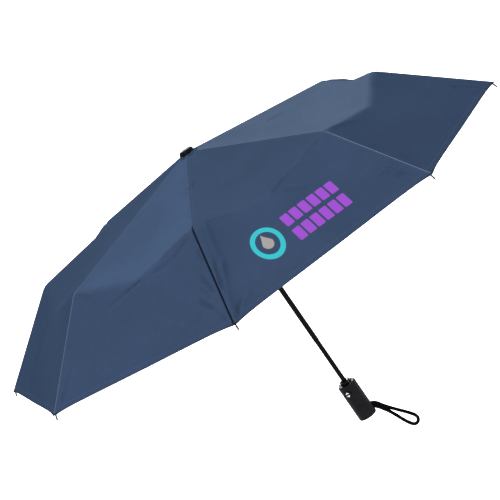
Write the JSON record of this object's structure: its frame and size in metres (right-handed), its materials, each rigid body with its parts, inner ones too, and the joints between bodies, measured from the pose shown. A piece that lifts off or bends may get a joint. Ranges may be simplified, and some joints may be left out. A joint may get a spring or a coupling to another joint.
{
  "type": "folding umbrella",
  "caption": "Compact folding umbrella: telescoping shaft, folding ribs under a navy dome canopy, push-button grip and wrist strap.",
  "frame": {"origin": "centre of the hand grip on the shaft axis", "axes": "+Z along the shaft from the grip to the crown; +X along the first rib"},
  "size_m": [0.96, 0.96, 0.611],
  "materials": {
    "grip_rubberised": "fine matte, soft-touch",
    "gloss_black": "moulded gloss",
    "seat_grey": "moulded satin",
    "inner_plastic": "moulded",
    "shaft_black": "black coated steel, semi-gloss",
    "spring_steel": "drawn wire",
    "rib_black": "black coated strip",
    "rib_fibre": "glass-fibre rod",
    "canopy_fabric": "navy pongee, plain weave",
    "strap_cord": "woven cord"
  },
  "bodies": {
    "handle": {"grip_shell": "grip_rubberised", "base_cap": "grip_rubberised", "tube_collar": "gloss_black", "tip_seat_ring": "seat_grey", "handle_core": "inner_plastic", "tube_pin": "spring_steel", "lower_tube": "shaft_black", "button_bezel": "gloss_black", "button_spring": "spring_steel", "strap_anchor": "inner_plastic", "wrist_strap": "strap_cord", "shaft_spring": "spring_steel"},
    "push_button": {"button": "gloss_black", "release_latch": "inner_plastic"},
    "mid_shaft": {"mid_tube": "shaft_black"},
    "top_shaft": {"upper_tube": "shaft_black", "crown": "gloss_black", "crown_wire": "spring_steel", "top_cap": "gloss_black", "canopy_panel_1": "canopy_fabric", "canopy_panel_2": "canopy_fabric", "canopy_panel_3": "canopy_fabric", "canopy_panel_4": "canopy_fabric", "canopy_panel_5": "canopy_fabric", "canopy_panel_6": "canopy_fabric", "canopy_panel_7": "canopy_fabric", "canopy_panel_8": "canopy_fabric"},
    "slider": {"runner": "gloss_black"},
    "top_rib_body_1": {"top_rib_1": "rib_black"},
    "mid_rib_body_1": {"mid_rib_1": "rib_black"},
    "tip_rib_body_1": {"tip_rib_1": "rib_fibre"},
    "stretcher_body_1": {"stretcher_1": "rib_black"},
    "top_rib_body_2": {"top_rib_2": "rib_black"},
    "mid_rib_body_2": {"mid_rib_2": "rib_black"},
    "tip_rib_body_2": {"tip_rib_2": "rib_fibre"},
    "stretcher_body_2": {"stretcher_2": "rib_black"},
    "top_rib_body_3": {"top_rib_3": "rib_black"},
    "mid_rib_body_3": {"mid_rib_3": "rib_black"},
    "tip_rib_body_3": {"tip_rib_3": "rib_fibre"},
    "stretcher_body_3": {"stretcher_3": "rib_black"},
    "top_rib_body_4": {"top_rib_4": "rib_black"},
    "mid_rib_body_4": {"mid_rib_4": "rib_black"},
    "tip_rib_body_4": {"tip_rib_4": "rib_fibre"},
    "stretcher_body_4": {"stretcher_4": "rib_black"},
    "top_rib_body_5": {"top_rib_5": "rib_black"},
    "mid_rib_body_5": {"mid_rib_5": "rib_black"},
    "tip_rib_body_5": {"tip_rib_5": "rib_fibre"},
    "stretcher_body_5": {"stretcher_5": "rib_black"},
    "top_rib_body_6": {"top_rib_6": "rib_black"},
    "mid_rib_body_6": {"mid_rib_6": "rib_black"},
    "tip_rib_body_6": {"tip_rib_6": "rib_fibre"},
    "stretcher_body_6": {"stretcher_6": "rib_black"},
    "top_rib_body_7": {"top_rib_7": "rib_black"},
    "mid_rib_body_7": {"mid_rib_7": "rib_black"},
    "tip_rib_body_7": {"tip_rib_7": "rib_fibre"},
    "stretcher_body_7": {"stretcher_7": "rib_black"},
    "top_rib_body_8": {"top_rib_8": "rib_black"},
    "mid_rib_body_8": {"mid_rib_8": "rib_black"},
    "tip_rib_body_8": {"tip_rib_8": "rib_fibre"},
    "stretcher_body_8": {"stretcher_8": "rib_black"}
  },
  "joints": [
    {"name": "shaft_telescope", "type": "slide", "parent": "handle", "child": "mid_shaft", "axis": [0, 0, -1], "range_m": [0, 0.1], "deforming": ["shaft_spring"]},
    {"name": "upper_tube_slide", "type": "slide", "parent": "mid_shaft", "child": "top_shaft", "axis": [0, 0, -1], "range_m": [0, 0.1651]},
    {"name": "canopy_fold", "type": "slide", "parent": "top_shaft", "child": "slider", "axis": [0, 0, -1], "range_m": [0, 0.13599], "deforming": ["canopy_panel_1", "canopy_panel_2", "canopy_panel_3", "canopy_panel_4", "canopy_panel_5", "canopy_panel_6", "canopy_panel_7", "canopy_panel_8"]},
    {"name": "button_press", "type": "slide", "parent": "handle", "child": "push_button", "axis": [0.342, 0.9397, 0], "range_m": [0, 0.0018], "stiffness_N_per_m": 600, "springref_m": -0.002, "deforming": ["button_spring"]},
    {"name": "crown_hinge_1", "type": "hinge", "parent": "top_shaft", "child": "top_rib_body_1", "pos_m": [0.0126, 0, 0.50364], "axis": [0, -1, 0], "range_deg": [-80.13, 0]},
    {"name": "mid_hinge_1", "type": "hinge", "parent": "top_rib_body_1", "child": "mid_rib_body_1", "pos_m": [0.16905, 0, 0.4783], "axis": [0, -1, 0], "range_deg": [0, 180.02]},
    {"name": "tip_hinge_1", "type": "hinge", "parent": "mid_rib_body_1", "child": "tip_rib_body_1", "pos_m": [0.32457, 0, 0.44764], "axis": [0, -1, 0], "range_deg": [-151.11, 0]},
    {"name": "stretcher_hinge_1", "type": "hinge", "parent": "top_rib_body_1", "child": "stretcher_body_1", "pos_m": [0.09975, 0, 0.4853], "axis": [0, -1, 0], "range_deg": [0, 151.93]},
    {"name": "crown_hinge_2", "type": "hinge", "parent": "top_shaft", "child": "top_rib_body_2", "pos_m": [0.00891, -0.00891, 0.50364], "axis": [-0.7071, -0.7071, 0], "range_deg": [-80.13, 0]},
    {"name": "mid_hinge_2", "type": "hinge", "parent": "top_rib_body_2", "child": "mid_rib_body_2", "pos_m": [0.11954, -0.11954, 0.4783], "axis": [-0.7071, -0.7071, 0], "range_deg": [0, 180.02]},
    {"name": "tip_hinge_2", "type": "hinge", "parent": "mid_rib_body_2", "child": "tip_rib_body_2", "pos_m": [0.22951, -0.22951, 0.44764], "axis": [-0.7071, -0.7071, 0], "range_deg": [-151.11, 0]},
    {"name": "stretcher_hinge_2", "type": "hinge", "parent": "top_rib_body_2", "child": "stretcher_body_2", "pos_m": [0.07053, -0.07053, 0.4853], "axis": [-0.7071, -0.7071, 0], "range_deg": [0, 151.93]},
    {"name": "crown_hinge_3", "type": "hinge", "parent": "top_shaft", "child": "top_rib_body_3", "pos_m": [0, -0.0126, 0.50364], "axis": [-1, 0, 0], "range_deg": [-80.13, 0]},
    {"name": "mid_hinge_3", "type": "hinge", "parent": "top_rib_body_3", "child": "mid_rib_body_3", "pos_m": [0, -0.16905, 0.4783], "axis": [-1, 0, 0], "range_deg": [0, 180.02]},
    {"name": "tip_hinge_3", "type": "hinge", "parent": "mid_rib_body_3", "child": "tip_rib_body_3", "pos_m": [0, -0.32457, 0.44764], "axis": [-1, 0, 0], "range_deg": [-151.11, 0]},
    {"name": "stretcher_hinge_3", "type": "hinge", "parent": "top_rib_body_3", "child": "stretcher_body_3", "pos_m": [0, -0.09975, 0.4853], "axis": [-1, 0, 0], "range_deg": [0, 151.93]},
    {"name": "crown_hinge_4", "type": "hinge", "parent": "top_shaft", "child": "top_rib_body_4", "pos_m": [-0.00891, -0.00891, 0.50364], "axis": [-0.7071, 0.7071, 0], "range_deg": [-80.13, 0]},
    {"name": "mid_hinge_4", "type": "hinge", "parent": "top_rib_body_4", "child": "mid_rib_body_4", "pos_m": [-0.11954, -0.11954, 0.4783], "axis": [-0.7071, 0.7071, 0], "range_deg": [0, 180.02]},
    {"name": "tip_hinge_4", "type": "hinge", "parent": "mid_rib_body_4", "child": "tip_rib_body_4", "pos_m": [-0.22951, -0.22951, 0.44764], "axis": [-0.7071, 0.7071, 0], "range_deg": [-151.11, 0]},
    {"name": "stretcher_hinge_4", "type": "hinge", "parent": "top_rib_body_4", "child": "stretcher_body_4", "pos_m": [-0.07053, -0.07053, 0.4853], "axis": [-0.7071, 0.7071, 0], "range_deg": [0, 151.93]},
    {"name": "crown_hinge_5", "type": "hinge", "parent": "top_shaft", "child": "top_rib_body_5", "pos_m": [-0.0126, 0, 0.50364], "axis": [0, 1, 0], "range_deg": [-80.13, 0]},
    {"name": "mid_hinge_5", "type": "hinge", "parent": "top_rib_body_5", "child": "mid_rib_body_5", "pos_m": [-0.16905, 0, 0.4783], "axis": [0, 1, 0], "range_deg": [0, 180.02]},
    {"name": "tip_hinge_5", "type": "hinge", "parent": "mid_rib_body_5", "child": "tip_rib_body_5", "pos_m": [-0.32457, 0, 0.44764], "axis": [0, 1, 0], "range_deg": [-151.11, 0]},
    {"name": "stretcher_hinge_5", "type": "hinge", "parent": "top_rib_body_5", "child": "stretcher_body_5", "pos_m": [-0.09975, 0, 0.4853], "axis": [0, 1, 0], "range_deg": [0, 151.93]},
    {"name": "crown_hinge_6", "type": "hinge", "parent": "top_shaft", "child": "top_rib_body_6", "pos_m": [-0.00891, 0.00891, 0.50364], "axis": [0.7071, 0.7071, 0], "range_deg": [-80.13, 0]},
    {"name": "mid_hinge_6", "type": "hinge", "parent": "top_rib_body_6", "child": "mid_rib_body_6", "pos_m": [-0.11954, 0.11954, 0.4783], "axis": [0.7071, 0.7071, 0], "range_deg": [0, 180.02]},
    {"name": "tip_hinge_6", "type": "hinge", "parent": "mid_rib_body_6", "child": "tip_rib_body_6", "pos_m": [-0.22951, 0.22951, 0.44764], "axis": [0.7071, 0.7071, 0], "range_deg": [-151.11, 0]},
    {"name": "stretcher_hinge_6", "type": "hinge", "parent": "top_rib_body_6", "child": "stretcher_body_6", "pos_m": [-0.07053, 0.07053, 0.4853], "axis": [0.7071, 0.7071, 0], "range_deg": [0, 151.93]},
    {"name": "crown_hinge_7", "type": "hinge", "parent": "top_shaft", "child": "top_rib_body_7", "pos_m": [0, 0.0126, 0.50364], "axis": [1, 0, 0], "range_deg": [-80.13, 0]},
    {"name": "mid_hinge_7", "type": "hinge", "parent": "top_rib_body_7", "child": "mid_rib_body_7", "pos_m": [0, 0.16905, 0.4783], "axis": [1, 0, 0], "range_deg": [0, 180.02]},
    {"name": "tip_hinge_7", "type": "hinge", "parent": "mid_rib_body_7", "child": "tip_rib_body_7", "pos_m": [0, 0.32457, 0.44764], "axis": [1, 0, 0], "range_deg": [-151.11, 0]},
    {"name": "stretcher_hinge_7", "type": "hinge", "parent": "top_rib_body_7", "child": "stretcher_body_7", "pos_m": [0, 0.09975, 0.4853], "axis": [1, 0, 0], "range_deg": [0, 151.93]},
    {"name": "crown_hinge_8", "type": "hinge", "parent": "top_shaft", "child": "top_rib_body_8", "pos_m": [0.00891, 0.00891, 0.50364], "axis": [0.7071, -0.7071, 0], "range_deg": [-80.13, 0]},
    {"name": "mid_hinge_8", "type": "hinge", "parent": "top_rib_body_8", "child": "mid_rib_body_8", "pos_m": [0.11954, 0.11954, 0.4783], "axis": [0.7071, -0.7071, 0], "range_deg": [0, 180.02]},
    {"name": "tip_hinge_8", "type": "hinge", "parent": "mid_rib_body_8", "child": "tip_rib_body_8", "pos_m": [0.22951, 0.22951, 0.44764], "axis": [0.7071, -0.7071, 0], "range_deg": [-151.11, 0]},
    {"name": "stretcher_hinge_8", "type": "hinge", "parent": "top_rib_body_8", "child": "stretcher_body_8", "pos_m": [0.07053, 0.07053, 0.4853], "axis": [0.7071, -0.7071, 0], "range_deg": [0, 151.93]}
  ],
  "couplings": [
    {"joint": "upper_tube_slide", "follows": "shaft_telescope", "ratio": 1.65},
    {"joint": "crown_hinge_1", "follows": "canopy_fold", "rad_per_m": -10.282},
    {"joint": "mid_hinge_1", "follows": "canopy_fold", "rad_per_m": 23.102},
    {"joint": "tip_hinge_1", "follows": "canopy_fold", "rad_per_m": -19.392},
    {"joint": "stretcher_hinge_1", "follows": "canopy_fold", "rad_per_m": 19.497},
    {"joint": "crown_hinge_2", "follows": "canopy_fold", "rad_per_m": -10.282},
    {"joint": "mid_hinge_2", "follows": "canopy_fold", "rad_per_m": 23.102},
    {"joint": "tip_hinge_2", "follows": "canopy_fold", "rad_per_m": -19.392},
    {"joint": "stretcher_hinge_2", "follows": "canopy_fold", "rad_per_m": 19.497},
    {"joint": "crown_hinge_3", "follows": "canopy_fold", "rad_per_m": -10.282},
    {"joint": "mid_hinge_3", "follows": "canopy_fold", "rad_per_m": 23.102},
    {"joint": "tip_hinge_3", "follows": "canopy_fold", "rad_per_m": -19.392},
    {"joint": "stretcher_hinge_3", "follows": "canopy_fold", "rad_per_m": 19.497},
    {"joint": "crown_hinge_4", "follows": "canopy_fold", "rad_per_m": -10.282},
    {"joint": "mid_hinge_4", "follows": "canopy_fold", "rad_per_m": 23.102},
    {"joint": "tip_hinge_4", "follows": "canopy_fold", "rad_per_m": -19.392},
    {"joint": "stretcher_hinge_4", "follows": "canopy_fold", "rad_per_m": 19.497},
    {"joint": "crown_hinge_5", "follows": "canopy_fold", "rad_per_m": -10.282},
    {"joint": "mid_hinge_5", "follows": "canopy_fold", "rad_per_m": 23.102},
    {"joint": "tip_hinge_5", "follows": "canopy_fold", "rad_per_m": -19.392},
    {"joint": "stretcher_hinge_5", "follows": "canopy_fold", "rad_per_m": 19.497},
    {"joint": "crown_hinge_6", "follows": "canopy_fold", "rad_per_m": -10.282},
    {"joint": "mid_hinge_6", "follows": "canopy_fold", "rad_per_m": 23.102},
    {"joint": "tip_hinge_6", "follows": "canopy_fold", "rad_per_m": -19.392},
    {"joint": "stretcher_hinge_6", "follows": "canopy_fold", "rad_per_m": 19.497},
    {"joint": "crown_hinge_7", "follows": "canopy_fold", "rad_per_m": -10.282},
    {"joint": "mid_hinge_7", "follows": "canopy_fold", "rad_per_m": 23.102},
    {"joint": "tip_hinge_7", "follows": "canopy_fold", "rad_per_m": -19.392},
    {"joint": "stretcher_hinge_7", "follows": "canopy_fold", "rad_per_m": 19.497},
    {"joint": "crown_hinge_8", "follows": "canopy_fold", "rad_per_m": -10.282},
    {"joint": "mid_hinge_8", "follows": "canopy_fold", "rad_per_m": 23.102},
    {"joint": "tip_hinge_8", "follows": "canopy_fold", "rad_per_m": -19.392},
    {"joint": "stretcher_hinge_8", "follows": "canopy_fold", "rad_per_m": 19.497}
  ]
}
